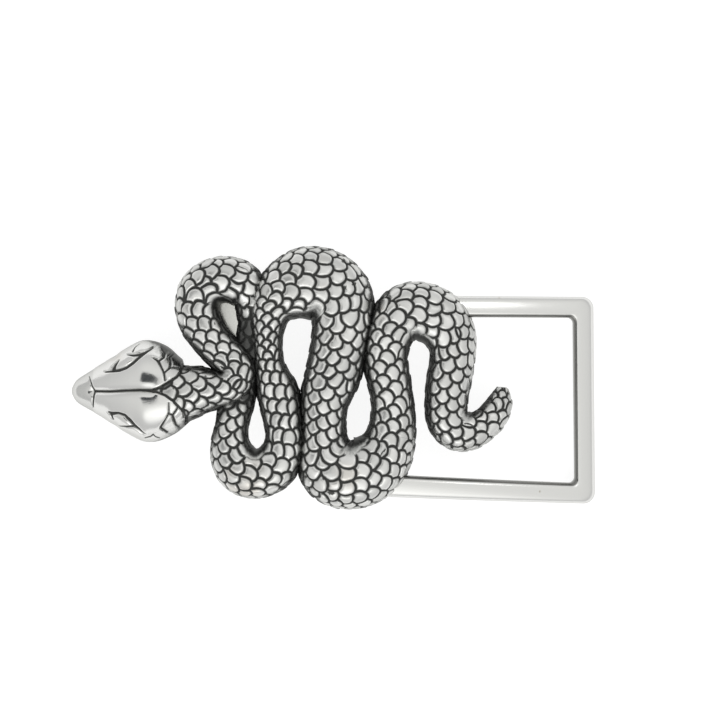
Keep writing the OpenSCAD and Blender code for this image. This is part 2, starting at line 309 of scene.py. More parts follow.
@dataclass
class Surface:
    """A skin as a grid of places, rows along it and columns round it, in mm."""

    name: str
    places: Array
    top: int
    layers: dict[Layer, Array] = field(default_factory=dict)

    def normals(self) -> Array:
        """Outward directions of the top columns, from the grid itself."""
        p = self.places[:, : self.top]
        along = np.gradient(p, axis=0)
        round_it = np.gradient(p, axis=1)
        n = np.cross(round_it, along)
        n /= np.maximum(np.linalg.norm(n, axis=2, keepdims=True), TINY)
        middle = n[:, self.top // 2, 2].mean()
        return n if middle > 0 else -n

    def raise_by(self, amount: Array) -> None:
        """Moves the top columns outwards by so many millimetres."""
        self.places[:, : self.top] += self.normals() * amount[..., None]

    def pace(self) -> Array:
        """How fast each top column runs along with the middle one, below 0 where it folds back."""
        run = np.gradient(self.places[:, : self.top], axis=0)
        ahead = run[:, self.top // 2, :2]
        ahead = ahead / np.linalg.norm(ahead, axis=1, keepdims=True)
        return (run[..., :2] * ahead[:, None]).sum(axis=2)

    def set_layer(self, layer: Layer, values: Array, under: float) -> None:
        """Keeps the values of a layer, with one value for all the columns under the piece."""
        pad = ((0, 0), (0, self.places.shape[1] - self.top))
        self.layers[layer] = np.pad(values, pad, constant_values=under)

    def build(self, first: int, last: int, name: str, ring: bool = False) -> bpy.types.Object:
        """Wraps a grid into the closed mesh of some of the rows.

        Args:
            first: first row.
            last: last row.
            name: name of the new object.
            ring: whether the last row meets the first one.

        Returns:
            The object, in the scene.
        """
        places = self.places[first : last + 1] * MM
        rows, cols = places.shape[:2]
        bm = bmesh.new()
        bmesh.ops.create_grid(bm, x_segments=rows - 1, y_segments=cols - 1, size=1.0)
        mesh = bpy.data.meshes.new(name)
        bm.to_mesh(mesh)
        bm.free()
        co = np.empty(len(mesh.vertices) * 3)
        mesh.vertices.foreach_get("co", co)
        share = (co.reshape(-1, 3)[:, :2] + 1) / 2
        i = np.rint(share[:, 0] * (rows - 1)).astype(int)
        j = np.rint(share[:, 1] * (cols - 1)).astype(int)
        mesh.vertices.foreach_set("co", places[i, j].ravel())
        for layer, values in self.layers.items():
            made = mesh.attributes.new(layer.value, "FLOAT", "POINT")
            made.data.foreach_set("value", values[first : last + 1][i, j].ravel().astype(np.float32))
        bm = bmesh.new()
        bm.from_mesh(mesh)
        bmesh.ops.remove_doubles(bm, verts=bm.verts, dist=WELD)
        if not ring:
            ends = [e for e in bm.edges if e.is_boundary]
            bmesh.ops.holes_fill(bm, edges=ends, sides=0)
        bmesh.ops.recalc_face_normals(bm, faces=bm.faces)
        bm.to_mesh(mesh)
        bm.free()
        sides = np.empty(len(mesh.polygons), dtype=np.int32)
        mesh.polygons.foreach_get("loop_total", sides)
        mesh.polygons.foreach_set("use_smooth", sides <= 4)
        mesh.update()
        made_object = bpy.data.objects.new(name, mesh)
        bpy.context.scene.collection.objects.link(made_object)
        return made_object


@dataclass
class Strand:
    """One run of the round body, from its table of sections, in mm."""

    name: str
    table: Table
    step: float = 0.125
    power: float = 0.72
    usual_half: float = 4.4
    usual_height: float = 6.3
    top: int = 150
    under: int = 10
    under_start: float = 0.02
    under_rise: float = 0.0006
    under_power: float = 0.4
    soften: float = 2.0
    soften_sizes: float = 0.8
    soften_turn: float = 0.7
    ease: float = 2.8
    ease_range: Span = (0.25, 0.70)

    def section(self, a: Array) -> tuple[Array, Array]:
        """Shares of the half width and of the height at angles round a section."""
        across = np.sign(np.cos(a)) * np.abs(np.cos(a)) ** self.power
        return across, np.abs(np.sin(a)) ** self.power

    def even_angles(self) -> Array:
        """Angles round a usual section at even distances, from the left foot to the right one."""
        a = np.linspace(0, math.pi, FINE)
        across, lift = self.section(a)
        run = run_along(np.stack([across * self.usual_half, lift * self.usual_height], axis=1))
        return np.interp(np.linspace(0, run[-1], self.top), run, a)

    def sections(self) -> Array:
        """Follows the table, with its kinks softened and its bends kept."""
        rows = curve_through(self.table, self.step)
        plan = rows[:, :2].copy()
        rows[:, :2] = smooth(plan, self.soften / self.step)
        rows[:, :2] += smooth(plan - rows[:, :2], self.soften / self.step)
        rows[:, 2:] = smooth(rows[:, 2:], self.soften_sizes / self.step)
        return rows

    def surface(self) -> Surface:
        """Works out the plain skin of the strand, eased apart at the inside of tight bends.

        Returns:
            The skin, closed under the snake along the bowed back.
        """
        rows = self.sections()
        ahead = np.gradient(rows[:, :2], axis=0)
        ahead /= np.linalg.norm(ahead, axis=1, keepdims=True)
        left = np.stack([-ahead[:, 1], ahead[:, 0]], axis=1)
        half = rows[:, 2:3] / 2
        turn = np.gradient(np.unwrap(np.arctan2(ahead[:, 1], ahead[:, 0]))) / self.step
        tight = smooth(turn, self.soften_turn / self.step)[:, None] * half

        share, lift = self.section(self.even_angles())
        lift[[0, -1]] = 0.0
        inner = ramp(tight * share[None], *self.ease_range)
        flat = []
        for axis in (0, 1):
            straight = rows[:, axis, None] + left[:, axis, None] * (half * share[None])
            flat.append(straight + (smooth(straight, self.ease / self.step) - straight) * inner)
        x, y = flat
        z = BACK.height(x) + rows[:, 3:4] * lift[None]
        rise = self.under_start + self.under_rise * np.arange(len(rows))[:, None] * self.step
        places = close_under(np.stack([x, y, z], axis=2), self.under, rise, self.under_power)
        return Surface(self.name, places, self.top)


@dataclass
class Scales:
    """The settled scales of one strand, one row each, in mm."""

    row: Array
    middle: Array
    along: Array
    side: Array
    long_r: Array
    wide_r: Array
    lean: Array
    tone: Array


@dataclass
class ScalePattern:
    """Overlapping scales laid evenly over the skin of a strand, in mm and rows of the skin."""

    across: float = 2.1
    along: float = 2.78
    cell: float = 5.8
    reach_along: float = 1.90
    reach_across: float = 1.53
    size_range: Span = (0.55, 1.25)
    depth: float = 0.36
    groove: float = 0.24
    dome: float = 0.12
    dome_reach: float = 0.45
    tilt: float = 0.06
    lean: float = 0.035
    uneven: float = 0.022
    waves: int = 14
    wave_pitch: float = 1.5
    count_blur: int = 24
    rounds: int = 3
    drift: float = 0.75
    least_area: float = 0.2
    stride: int = 3
    settle_block: int = 4
    settle_window: int = 90
    carve_block: int = 8
    carve_window: int = 84
    pinch_range: Span = (0.24, 0.60)
    pinch_open: float = 0.5
    pinch_groove: float = 0.5
    seed: int = 7

    def first_marks(self, skin: Array, sizes: Array) -> Array:
        """Sets marks in staggered columns along the strand.

        Args:
            skin: the top columns of the strand's places.
            sizes: size of the scales at each row, as a share of the usual size.

        Returns:
            Row and column of each mark.
        """
        n, m = skin.shape[:2]
        girth = np.linalg.norm(np.diff(skin, axis=1), axis=2).sum(axis=1)
        count = np.rint(smooth(girth / (self.across * sizes), self.count_blur)).astype(int)
        edges = [0, *(np.flatnonzero(np.diff(count)) + 1), n]
        steps = np.linalg.norm(np.diff(skin, axis=0), axis=2)
        run = np.concatenate([np.zeros((1, m)), np.cumsum(steps, axis=0)])
        marks = []
        for first, last in zip(edges, edges[1:]):
            lanes = max(3, count[first])
            for lane in range(lanes):
                col = (lane + 0.5) / lanes * (m - 1)
                here = run[first:last, round(col)]
                pitch = self.along * sizes[first]
                start = here[0] + pitch * (0.25 + 0.5 * (lane % 2))
                for goal in np.arange(start, here[-1] + 0.1, pitch):
                    marks.append((first + np.searchsorted(here, goal), col))
        return np.clip(np.array(marks, dtype=float), 0, [n - 1, m - 1])

    def settle(self, marks: Array, skin: Array) -> tuple[Array, Array]:
        """Lets marks drift to the middles of the places nearest to them.

        Args:
            marks: row and column of each mark.
            skin: the top columns of the strand's places.

        Returns:
            The settled marks, and the area round each one.
        """
        n, m = skin.shape[:2]
        i, j = np.meshgrid(np.arange(0, n, self.stride), np.arange(0, m, self.stride), indexing="ij")
        pts = skin[i, j]
        area = np.linalg.norm(np.cross(np.gradient(pts, axis=0), np.gradient(pts, axis=1)), axis=2)
        for _ in range(self.rounds):
            middle = skin[marks[:, 0].astype(int), marks[:, 1].astype(int)]
            total = np.zeros(len(marks))
            moved = np.zeros((len(marks), 2))
            for block in range(0, len(pts), self.settle_block):
                rows = slice(block, block + self.settle_block)
                near = np.flatnonzero(np.abs(marks[:, 0] - i[block, 0]) < self.settle_window)
                flat = pts[rows].reshape(-1, 3)
                gap = ((flat[:, None] - middle[None, near]) ** 2).sum(axis=2)
                owner = near[gap.argmin(axis=1)]
                weight = area[rows].ravel()
                np.add.at(total, owner, weight)
                np.add.at(moved[:, 0], owner, weight * i[rows].ravel())
                np.add.at(moved[:, 1], owner, weight * j[rows].ravel())
            kept = total > self.least_area
            goal = moved[kept] / total[kept, None]
            marks = marks[kept] + self.drift * (goal - marks[kept])
            total = total[kept]
        return marks, total

    def wander(self, skin: Array) -> Array:
        """Small smooth shifts that make the scales' edges a little uneven."""
        rng = np.random.default_rng(self.seed + 1)
        shift = np.zeros_like(skin)
        for _ in range(self.waves):
            wave = rng.normal(0, self.wave_pitch, 3)
            phase = rng.uniform(0, 2 * math.pi)
            push = rng.normal(0, self.uneven, 3)
            shift += push * np.sin(skin @ wave + phase)[..., None]
        return shift

    def lay(self, surface: Surface, sizes: Array) -> Scales:
        """Lays the scales on a strand's skin.

        Args:
            surface: the strand's plain skin.
            sizes: size of the scales at each row, as a share of the usual size.

        Returns:
            The scales.
        """
        skin = surface.places[:, : surface.top]
        marks, areas = self.settle(self.first_marks(skin, sizes), skin)
        rng = np.random.default_rng(self.seed)
        i = np.clip(np.rint(marks[:, 0]).astype(int), 0, len(skin) - 1)
        j = np.clip(np.rint(marks[:, 1]).astype(int), 0, surface.top - 1)
        up = surface.normals()[i, j]
        along = np.gradient(skin, axis=0)[i, j]
        along -= up * (along * up).sum(axis=1, keepdims=True)
        along /= np.maximum(np.linalg.norm(along, axis=1, keepdims=True), TINY)
        size = np.clip(np.sqrt(areas / self.cell), *self.size_range)
        return Scales(
            row=marks[:, 0],
            middle=skin[i, j],
            along=along,
            side=np.cross(up, along),
            long_r=self.reach_along * size,
            wide_r=self.reach_across * size,
            lean=rng.normal(0, self.lean, (len(marks), 2)),
            tone=rng.uniform(0, 1, len(marks)),
        )

    def measure(
        self, pts: Array, scales: Scales, near: Array
    ) -> tuple[Array, Array, Array]:
        """Finds the scale that covers each place, the foremost of those that reach it.

        Args:
            pts: places on the skin.
            scales: the strand's scales.
            near: numbers of the scales that may reach the places.

        Returns:
            Distance to the nearest groove, height of the scale, and the scale's number.
        """
        gap = pts[:, None] - scales.middle[None, near]
        a = (gap * scales.along[None, near]).sum(axis=2)
        c = (gap * scales.side[None, near]).sum(axis=2)
        c_far = np.sqrt(np.maximum((gap**2).sum(axis=2) - a**2, 0))
        long_r, wide_r = scales.long_r[near], scales.wide_r[near]
        la, wa = a / long_r, c_far / wide_r
        d = np.maximum(np.hypot(la, wa), 1e-4)
        steep = np.maximum(np.hypot(la / long_r, wa / wide_r) / d, 0.1)
        inside = d < 1
        owner = np.where(inside, a, -FAR).argmax(axis=1)
        nothing = ~inside.any(axis=1)
        owner[nothing] = d[nothing].argmin(axis=1)
        pick = np.arange(len(pts))
        own_a, own_c = a[pick, owner], c[pick, owner]
        own = (1 - d[pick, owner]) / steep[pick, owner]
        over = (a > own_a[:, None]) & ~inside
        rim = np.where(over, (d - 1) / steep, FAR).min(axis=1)
        g = np.maximum(np.minimum(own, rim), 0)
        number = near[owner]
        form = self.tilt * own_a / scales.long_r[number]
        form = form + scales.lean[number, 0] * own_a + scales.lean[number, 1] * own_c
        form = form + self.dome * (1 - np.exp(-g / self.dome_reach))
        return g, form, number

    def carve(self, surface: Surface, sizes: Array) -> None:
        """Cuts the scales into a strand's skin and fills its layers.

        Args:
            surface: the strand's plain skin.
            sizes: size of the scales at each row, as a share of the usual size.
        """
        skin = surface.places[:, : surface.top]
        scales = self.lay(surface, sizes)
        n, m = skin.shape[:2]
        groove = np.ones((n, m))
        relief = np.zeros((n, m))
        shade = np.zeros((n, m))
        bent = skin + self.wander(skin)
        for block in range(0, n, self.carve_block):
            rows = slice(block, min(block + self.carve_block, n))
            near = np.flatnonzero(np.abs(scales.row - block - self.carve_block / 2) < self.carve_window)
            g, form, number = self.measure(bent[rows].reshape(-1, 3), scales, near)
            cut = np.exp(-((g / self.groove) ** 2))
            groove[rows] = g.reshape(-1, m)
            relief[rows] = (form * (1 - cut) - self.depth * cut).reshape(-1, m)
            shade[rows] = scales.tone[number].reshape(-1, m)
        pace = surface.pace()
        loose = ramp(pace / np.median(pace), *self.pinch_range)
        surface.raise_by(relief * foot_fade(skin) * loose)
        surface.set_layer(Layer.GROOVE, np.maximum(groove, self.pinch_groove * (1 - loose)), 1.0)
        surface.set_layer(Layer.SHADE, shade, 0.5)
        # Pinched inner bends get less open air, so the finish paints shade into these creases
        surface.set_layer(Layer.OPEN, self.pinch_open + (1 - self.pinch_open) * loose, 1.0)
        log.info("%s: %d scales", surface.name, len(scales.row))


@dataclass
class OpenAir:
    """How much sky each place of the casting sees over what stands round it."""

    cell: float = 0.25
    x0: float = -56.0
    y0: float = -31.0
    size: tuple[int, int] = (460, 250)
    ways: int = 16
    reach: float = 22.0
    strides: int = 55
    blur: float = 1.2
    own_edge: float = 1.7
    ground: float = 0.5
    outside: float = 0.5
    sky_range: Span = (0.44, 0.82)
    foot_light: float = 0.4
    foot_range: Span = (0.5, 3.0)

    def cells_of(self, places: Array) -> tuple[Array, Array]:
        """Grid cells in which places lie."""
        i = ((places[..., 0] - self.x0) / self.cell).astype(int)
        j = ((places[..., 1] - self.y0) / self.cell).astype(int)
        return i, j

    def heights(self, surfaces: list[Surface]) -> Array:
        """Lays the casting's heights above its back on a grid."""
        heights = np.zeros(self.size)
        for surface in surfaces:
            top = surface.places[:, : surface.top]
            np.maximum.at(heights, self.cells_of(top), BACK.above(top))
        return smooth(smooth(heights, self.blur).T, self.blur).T

    def sky(self, heights: Array) -> Array:
        """Finds the share of the sky that each cell sees, with more for a way out of the casting.

        Args:
            heights: grid of heights in mm.

        Returns:
            A grid of shares, near 0 in a narrow gap and 1 on a free top.
        """
        seen = np.zeros(self.size)
        for way in range(self.ways):
            turn = 2 * math.pi * way / self.ways
            steepest = np.zeros(self.size)
            clear = np.ones(self.size)
            for run in np.linspace(self.reach / self.strides, self.reach, self.strides):
                i = round(math.cos(turn) * run / self.cell)
                j = round(math.sin(turn) * run / self.cell)
                there = np.roll(heights, (-i, -j), (0, 1))
                np.maximum(steepest, (there - heights) / run, out=steepest)
                if run > self.own_edge:
                    clear[there > self.ground] = 0.0
            seen += 1 - steepest / np.hypot(1, steepest) + self.outside * clear
        return seen / self.ways

    def fill(self, surfaces: list[Surface]) -> None:
        """Writes the open-air layer of each skin, from 0 in a deep gap to 1 on a free top; the finishes
        paint shade into the colour by it.
        """
        sky = self.sky(self.heights(surfaces))
        for surface in surfaces:
            p = surface.places
            # Painted shade at the foot: places low on the skin get less open air, so the finish paints
            # them darker
            foot = ramp(BACK.above(p), *self.foot_range)
            free = ramp(sky[self.cells_of(p)], *self.sky_range)
            free = free * (self.foot_light + (1 - self.foot_light) * foot)
            surface.layers[Layer.OPEN] = free * surface.layers.get(Layer.OPEN, 1.0)


@dataclass
class Wire:
    """A node's output, used as a value in a Python expression."""

    graph: "Graph"
    socket: bpy.types.NodeSocket

    def math(self, operation: str, *others: "Wire | float") -> "Wire":
        """Adds a Math node with this value first."""
        return self.graph.math(operation, self, *others)

    def __add__(self, other: "Wire | float") -> "Wire":
        """This value plus another."""
        return self.math("ADD", other)

    def __sub__(self, other: "Wire | float") -> "Wire":
        """This value less another."""
        return self.math("SUBTRACT", other)

    def __mul__(self, other: "Wire | float") -> "Wire":
        """This value times another."""
        return self.math("MULTIPLY", other)

    def __rsub__(self, other: float) -> "Wire":
        """A number less this value."""
        return self.graph.math("SUBTRACT", other, self)

    __radd__ = __add__
    __rmul__ = __mul__

    def up_to(self, other: "Wire | float") -> "Wire":
        """The larger of this value and another."""
        return self.math("MAXIMUM", other)

    def step(self, low: float, high: float) -> "Wire":
        """Smooth step from 0 at low to 1 at high."""
        settings = {"interpolation_type": "SMOOTHSTEP"}
        return self.graph.node("ShaderNodeMapRange", settings, {0: self, 1: low, 2: high})


@dataclass
class Graph:
    """The nodes of one material or of the studio's surroundings."""

    tree: bpy.types.NodeTree

    def node(
        self,
        kind: str,
        settings: dict[str, object] | None = None,
        inputs: dict[str | int, "Wire | float | tuple"] | None = None,
        out: str | int = 0,
    ) -> Wire:
        """Adds a node.

        Args:
            kind: the node's type.
            settings: its properties, set first.
            inputs: values or wires of its sockets, by name or number.
            out: the output that is wanted.

        Returns:
            That output.
        """
        made = self.tree.nodes.new(kind)
        for name, value in (settings or {}).items():
            setattr(made, name, value)
        for key, value in (inputs or {}).items():
            if isinstance(value, Wire):
                self.tree.links.new(value.socket, made.inputs[key])
            else:
                made.inputs[key].default_value = value
        return Wire(self, made.outputs[out])

    def math(self, operation: str, *values: Wire | float) -> Wire:
        """Adds a Math node over values or wires."""
        return self.node("ShaderNodeMath", {"operation": operation}, dict(enumerate(values)))

    def layer(self, layer: Layer) -> Wire:
        """Reads a value that the vertices carry."""
        return self.node("ShaderNodeAttribute", {"attribute_name": layer.value}, out="Fac")

    def place(self, scale: tuple[float, float, float] = (1.0, 1.0, 1.0), turn: float = 0.0) -> Wire:
        """Object coordinates, stretched and turned about the upright axis."""
        coords = self.node("ShaderNodeTexCoord", out="Object")
        inputs = {"Vector": coords, "Rotation": (0.0, 0.0, turn), "Scale": scale}
        return self.node("ShaderNodeMapping", None, inputs)

    def noise(self, place: Wire, scale: float, detail: float = 2.0, rough: float = 0.5) -> Wire:
        """Cloudy values from 0 to 1."""
        inputs = {"Vector": place, "Scale": scale, "Detail": detail, "Roughness": rough}
        return self.node("ShaderNodeTexNoise", None, inputs)

    def cells(self, place: Wire, scale: float) -> Wire:
        """Distance to the nearest of scattered points."""
        return self.node("ShaderNodeTexVoronoi", None, {"Vector": place, "Scale": scale}, "Distance")

    def blend(self, share: Wire | float, first: "Wire | Colour", second: "Wire | Colour") -> Wire:
        """Mixes two colours.

        Args:
            share: 0 for the first, 1 for the second.
            first: a colour or a wire.
            second: a colour or a wire.

        Returns:
            The mixed colour.
        """
        colours = [value if isinstance(value, Wire) else (*value, 1.0) for value in (first, second)]
        inputs = {0: share, 6: colours[0], 7: colours[1]}
        return self.node("ShaderNodeMix", {"data_type": "RGBA"}, inputs, 2)

    def bump(self, height: Wire, distance: float, strength: float = 1.0) -> Wire:
        """Small relief in the finish, distance in mm."""
        inputs = {"Height": height, "Distance": distance * MM, "Strength": strength}
        return self.node("ShaderNodeBump", None, inputs)

    def finish(self, **sockets: Wire | float | tuple) -> None:
        """Joins values to the shader and the shader to the output.

        Args:
            **sockets: the shader's inputs, with underscores for spaces.
        """
        inputs = {key.replace("_", " "): value for key, value in sockets.items()}
        shader = self.node("ShaderNodeBsdfPrincipled", None, inputs)
        end = self.tree.nodes.new("ShaderNodeOutputMaterial")
        self.tree.links.new(shader.socket, end.inputs["Surface"])


def new_material(name: str) -> tuple[bpy.types.Material, Graph]:
    """Starts an empty material."""
    material = bpy.data.materials.new(name)
    material.use_nodes = True
    material.node_tree.nodes.clear()
    return material, Graph(material.node_tree)


@dataclass(frozen=True)
class AntiquedSilver:
    """Plated silver with dark oxide left in its grooves and gaps, where the darkening of the gaps
    follows how much sky each place sees and so is partly painted shade.
    """

    name: str
    silver: Colour = (0.73, 0.73, 0.715)
    warm: Colour = (0.62, 0.57, 0.51)
    # Oxide colour, also the dark end of the painted shade in the gaps
    oxide: Colour = (0.046, 0.047, 0.045)
    veil: Colour = (0.22, 0.23, 0.22)
    shine: float = 0.30
    line_range: Span = (0.16, 0.35)
    sky_shade_and_oxide_range: Span = (0.22, 0.90)
    pits: float = 1.0
    tone_share: float = 0.27
    stain_share: float = 0.55
    streak_share: float = 0.45

    def build(self) -> bpy.types.Material:
        """Makes the material."""
        material, g = new_material(self.name)
        place = g.place()
        groove = g.layer(Layer.GROOVE)
        free = g.layer(Layer.OPEN)
        tone = g.layer(Layer.SHADE)
        waver = g.noise(place, 1500.0, 3.0, 0.6)
        line = 1.0 - (groove + (waver - 0.5) * 0.10).step(*self.line_range)
        streaks = g.noise(g.place((1.0, 1.0, 0.12)), 2600.0, 3.0, 0.65)
        # Painted shade: colour darkens towards oxide where the open-air layer sees little sky, in gaps,
        # bend creases and at the foot; partly oxide of the hollows, partly painted shade
        sky_shade_and_oxide = 1.0 - (free + (streaks - 0.5) * self.streak_share).step(*self.sky_shade_and_oxide_range)
        spots = g.cells(g.place((1.0, 0.55, 1.0), 0.7), 620.0)
        few = g.noise(place, 260.0).step(0.56, 0.64)
        pit = (1.0 - spots.step(0.10, 0.20)) * few * self.pits
        dark = line.up_to(sky_shade_and_oxide * 0.92).up_to(pit * 0.85)
        stain = g.noise(place, 95.0, 3.0).step(0.60, 0.75) * self.stain_share
        clean = g.blend(stain, self.silver, self.warm)
        lively = g.blend(tone * self.tone_share, clean, self.veil)
        deep = g.blend(line.up_to(pit).up_to(sky_shade_and_oxide.step(0.35, 0.95)), self.veil, self.oxide)
        colour = g.blend(dark, lively, deep)
        rough = self.shine + waver * 0.08 + sky_shade_and_oxide * 0.16 + line * 0.30
        grain = g.noise(place, 5200.0, 2.0) * 0.5 + streaks * 0.5
        bump = g.bump(grain - pit * 2.0, 0.02, 0.55)
        g.finish(
            Base_Color=colour,
            Metallic=1.0 - line * 0.6,
            Roughness=rough,
            Specular_Tint=(0.72, 0.72, 0.71, 1.0),
            Normal=bump,
        )
        return material


@dataclass(frozen=True)
class PlainSilver:
    """Bare cast and plated metal, with a few casting pits, and painted shade on the loop's inner walls
    when asked.
    """

    name: str
    silver: Colour = (0.72, 0.72, 0.705)
    stain: Colour = (0.46, 0.42, 0.36)
    # Colour of the painted shade on the inner walls
    wall: Colour = (0.16, 0.16, 0.15)
    shine: float = 0.16
    scratches: float = 0.2
    paint_wall_shade: bool = False

    def build(self) -> bpy.types.Material:
        """Makes the material."""
        material, g = new_material(self.name)
        place = g.place()
        cloud = g.noise(place, 160.0, 3.0)
        rub = g.noise(g.place((0.15, 1.0, 1.0), 0.35), 2400.0, 2.0, 0.6)
        spots = g.cells(place, 420.0)
        few = g.noise(place, 120.0).step(0.56, 0.64)
        pit = (1.0 - spots.step(0.06, 0.14)) * few
        patch = cloud.step(0.66, 0.80) * 0.35
        colour = g.blend(pit.up_to(patch), self.silver, self.stain)
        # Painted shade: the loop's inner walls are painted dark, standing in for the dark reflection
        # that these inward-facing walls show
        if self.paint_wall_shade:
            wall = 1.0 - (g.layer(Layer.OPEN) + (rub - 0.5) * 0.3).step(0.2, 0.7)
            colour = g.blend(wall * 0.9, colour, self.wall)
        rough = self.shine + cloud * 0.06 + rub * 0.04
        bump = g.bump(rub * self.scratches - pit, 0.008, 0.4)
        g.finish(
            Base_Color=colour,
            Metallic=1.0,
            Roughness=rough,
            Specular_Tint=(0.75, 0.75, 0.74, 1.0),
            Normal=bump,
        )
        return material


@dataclass(frozen=True)
class Carving:
    """A line cut into the head: its depth, and points with the line's width at each, in mm."""

    depth: float
    points: Line


CARVINGS: dict[str, Carving] = {
    "nose_cap": Carving(0.25, [
        (-46.1, 0.3, 0.05), (-45.5, -1.1, 0.12), (-45.2, -2.5, 0.2), (-45.1, -3.7, 0.25),
        (-45.3, -5.5, 0.1),
    ]),
    "crown_groove": Carving(0.4, [
        (-45.2, -2.5, 0.1), (-42.1, -2.5, 0.14), (-38.8, -2.3, 0.18), (-36.0, -2.2, 0.24),
        (-33.5, -2.3, 0.4),
    ]),
    "upper_plate_back": Carving(0.45, [
        (-33.5, -2.3, 0.35), (-31.9, -1.7, 0.45), (-30.2, -0.7, 0.5), (-29.0, 0.2, 0.35),
        (-28.3, 1.2, 0.3), (-28.1, 2.1, 0.3), (-28.2, 2.9, 0.2),
    ]),
    "lower_plate_back": Carving(0.45, [
        (-34.3, -2.3, 0.1), (-32.7, -2.5, 0.25), (-31.0, -3.1, 0.3), (-29.6, -4.1, 0.3),
        (-28.6, -5.2, 0.3), (-27.7, -6.2, 0.25), (-27.3, -7.6, 0.2), (-27.9, -8.9, 0.1),
    ]),
    "upper_brow": Carving(0.4, [
        (-42.8, 1.2, 0.1), (-41.3, 1.3, 0.25), (-39.9, 1.5, 0.4), (-38.5, 2.0, 0.4), (-37.2, 2.9, 0.45),
        (-36.0, 4.0, 0.5), (-34.7, 5.0, 0.3), (-33.6, 5.8, 0.05),
    ]),
    "upper_brow_fork": Carving(0.35, [
        (-41.0, 1.6, 0.6), (-40.7, 2.2, 0.35), (-39.9, 3.2, 0.05),
    ]),
    "upper_eye": Carving(0.35, [
        (-38.3, 4.2, 0.05), (-37.2, 4.2, 0.25), (-36.0, 4.4, 0.4), (-34.9, 4.9, 0.2),
    ]),
    "upper_eye_tick": Carving(0.25, [
        (-37.4, 4.8, 0.15), (-37.1, 5.6, 0.1), (-36.4, 6.3, 0.02),
    ]),
    "upper_rear": Carving(0.35, [
        (-33.5, 3.8, 0.05), (-32.4, 3.2, 0.35), (-31.8, 2.0, 0.2), (-31.3, 1.0, 0.25),
        (-31.1, -0.4, 0.15),
    ]),
    "upper_cheek": Carving(0.35, [
        (-32.4, 3.2, 0.3), (-31.5, 3.9, 0.25), (-31.4, 4.7, 0.25), (-31.9, 5.4, 0.2),
        (-32.3, 5.8, 0.05),
    ]),
    "upper_cheek_edge": Carving(0.35, [
        (-31.3, 1.0, 0.25), (-30.3, 1.9, 0.2), (-29.6, 2.1, 0.12), (-28.6, 2.1, 0.1),
    ]),
    "upper_cheek_fork": Carving(0.35, [
        (-30.3, 1.9, 0.25), (-30.1, 2.8, 0.2), (-30.5, 3.9, 0.3), (-30.1, 4.4, 0.2),
    ]),
    "lower_rear": Carving(0.35, [
        (-30.4, -4.5, 0.1), (-30.4, -6.4, 0.15), (-31.1, -7.6, 0.12), (-32.1, -9.2, 0.3),
        (-31.1, -10.2, 0.4),
    ]),
    "lower_cheek": Carving(0.35, [
        (-30.4, -6.6, 0.2), (-29.8, -6.8, 0.3), (-29.5, -7.8, 0.3), (-29.3, -8.8, 0.35),
        (-28.9, -9.3, 0.2),
    ]),
    "lower_cheek_edge": Carving(0.35, [
        (-28.6, -5.1, 0.2), (-29.1, -6.0, 0.2), (-29.7, -6.8, 0.2),
    ]),
    "lower_brow": Carving(0.4, [
        (-42.1, -6.3, 0.1), (-41.3, -6.6, 0.5), (-40.1, -6.5, 0.25), (-38.8, -6.9, 0.35),
        (-37.8, -7.8, 0.45), (-37.0, -8.8, 0.4), (-36.2, -9.4, 0.3), (-35.1, -10.4, 0.05),
    ]),
    "lower_brow_fork": Carving(0.3, [
        (-41.5, -6.6, 0.3), (-41.1, -7.5, 0.15),
    ]),
    "lower_eye": Carving(0.3, [
        (-40.1, -8.8, 0.05), (-38.8, -8.8, 0.2), (-37.2, -8.9, 0.25),
    ]),
    "lower_jaw": Carving(0.2, [
        (-35.3, -11.2, 0.1), (-34.1, -10.9, 0.12), (-33.6, -10.5, 0.12), (-33.3, -11.0, 0.15),
        (-32.6, -11.3, 0.1),
    ]),
}

# Soft ridges of the head: start, end, reach and rise, in mm
SWELLINGS: list[tuple[Span, Span, float, float]] = [
    ((-41.6, 2.4), (-38.6, 3.5), 1.1, 0.34),
    ((-39.6, 4.4), (-36.0, 5.8), 1.0, 0.26),
    ((-41.6, -7.2), (-38.6, -8.2), 1.1, 0.34),
    ((-39.6, -9.0), (-36.0, -10.3), 1.0, 0.26),
    ((-44.6, 1.6), (-42.2, 2.8), 0.8, 0.15),
    ((-44.6, -6.2), (-42.2, -7.6), 0.8, 0.15),
    ((-34.6, 2.2), (-31.8, 1.2), 2.2, 0.22),
    ((-34.6, -6.8), (-31.8, -6.4), 2.2, 0.22),
]


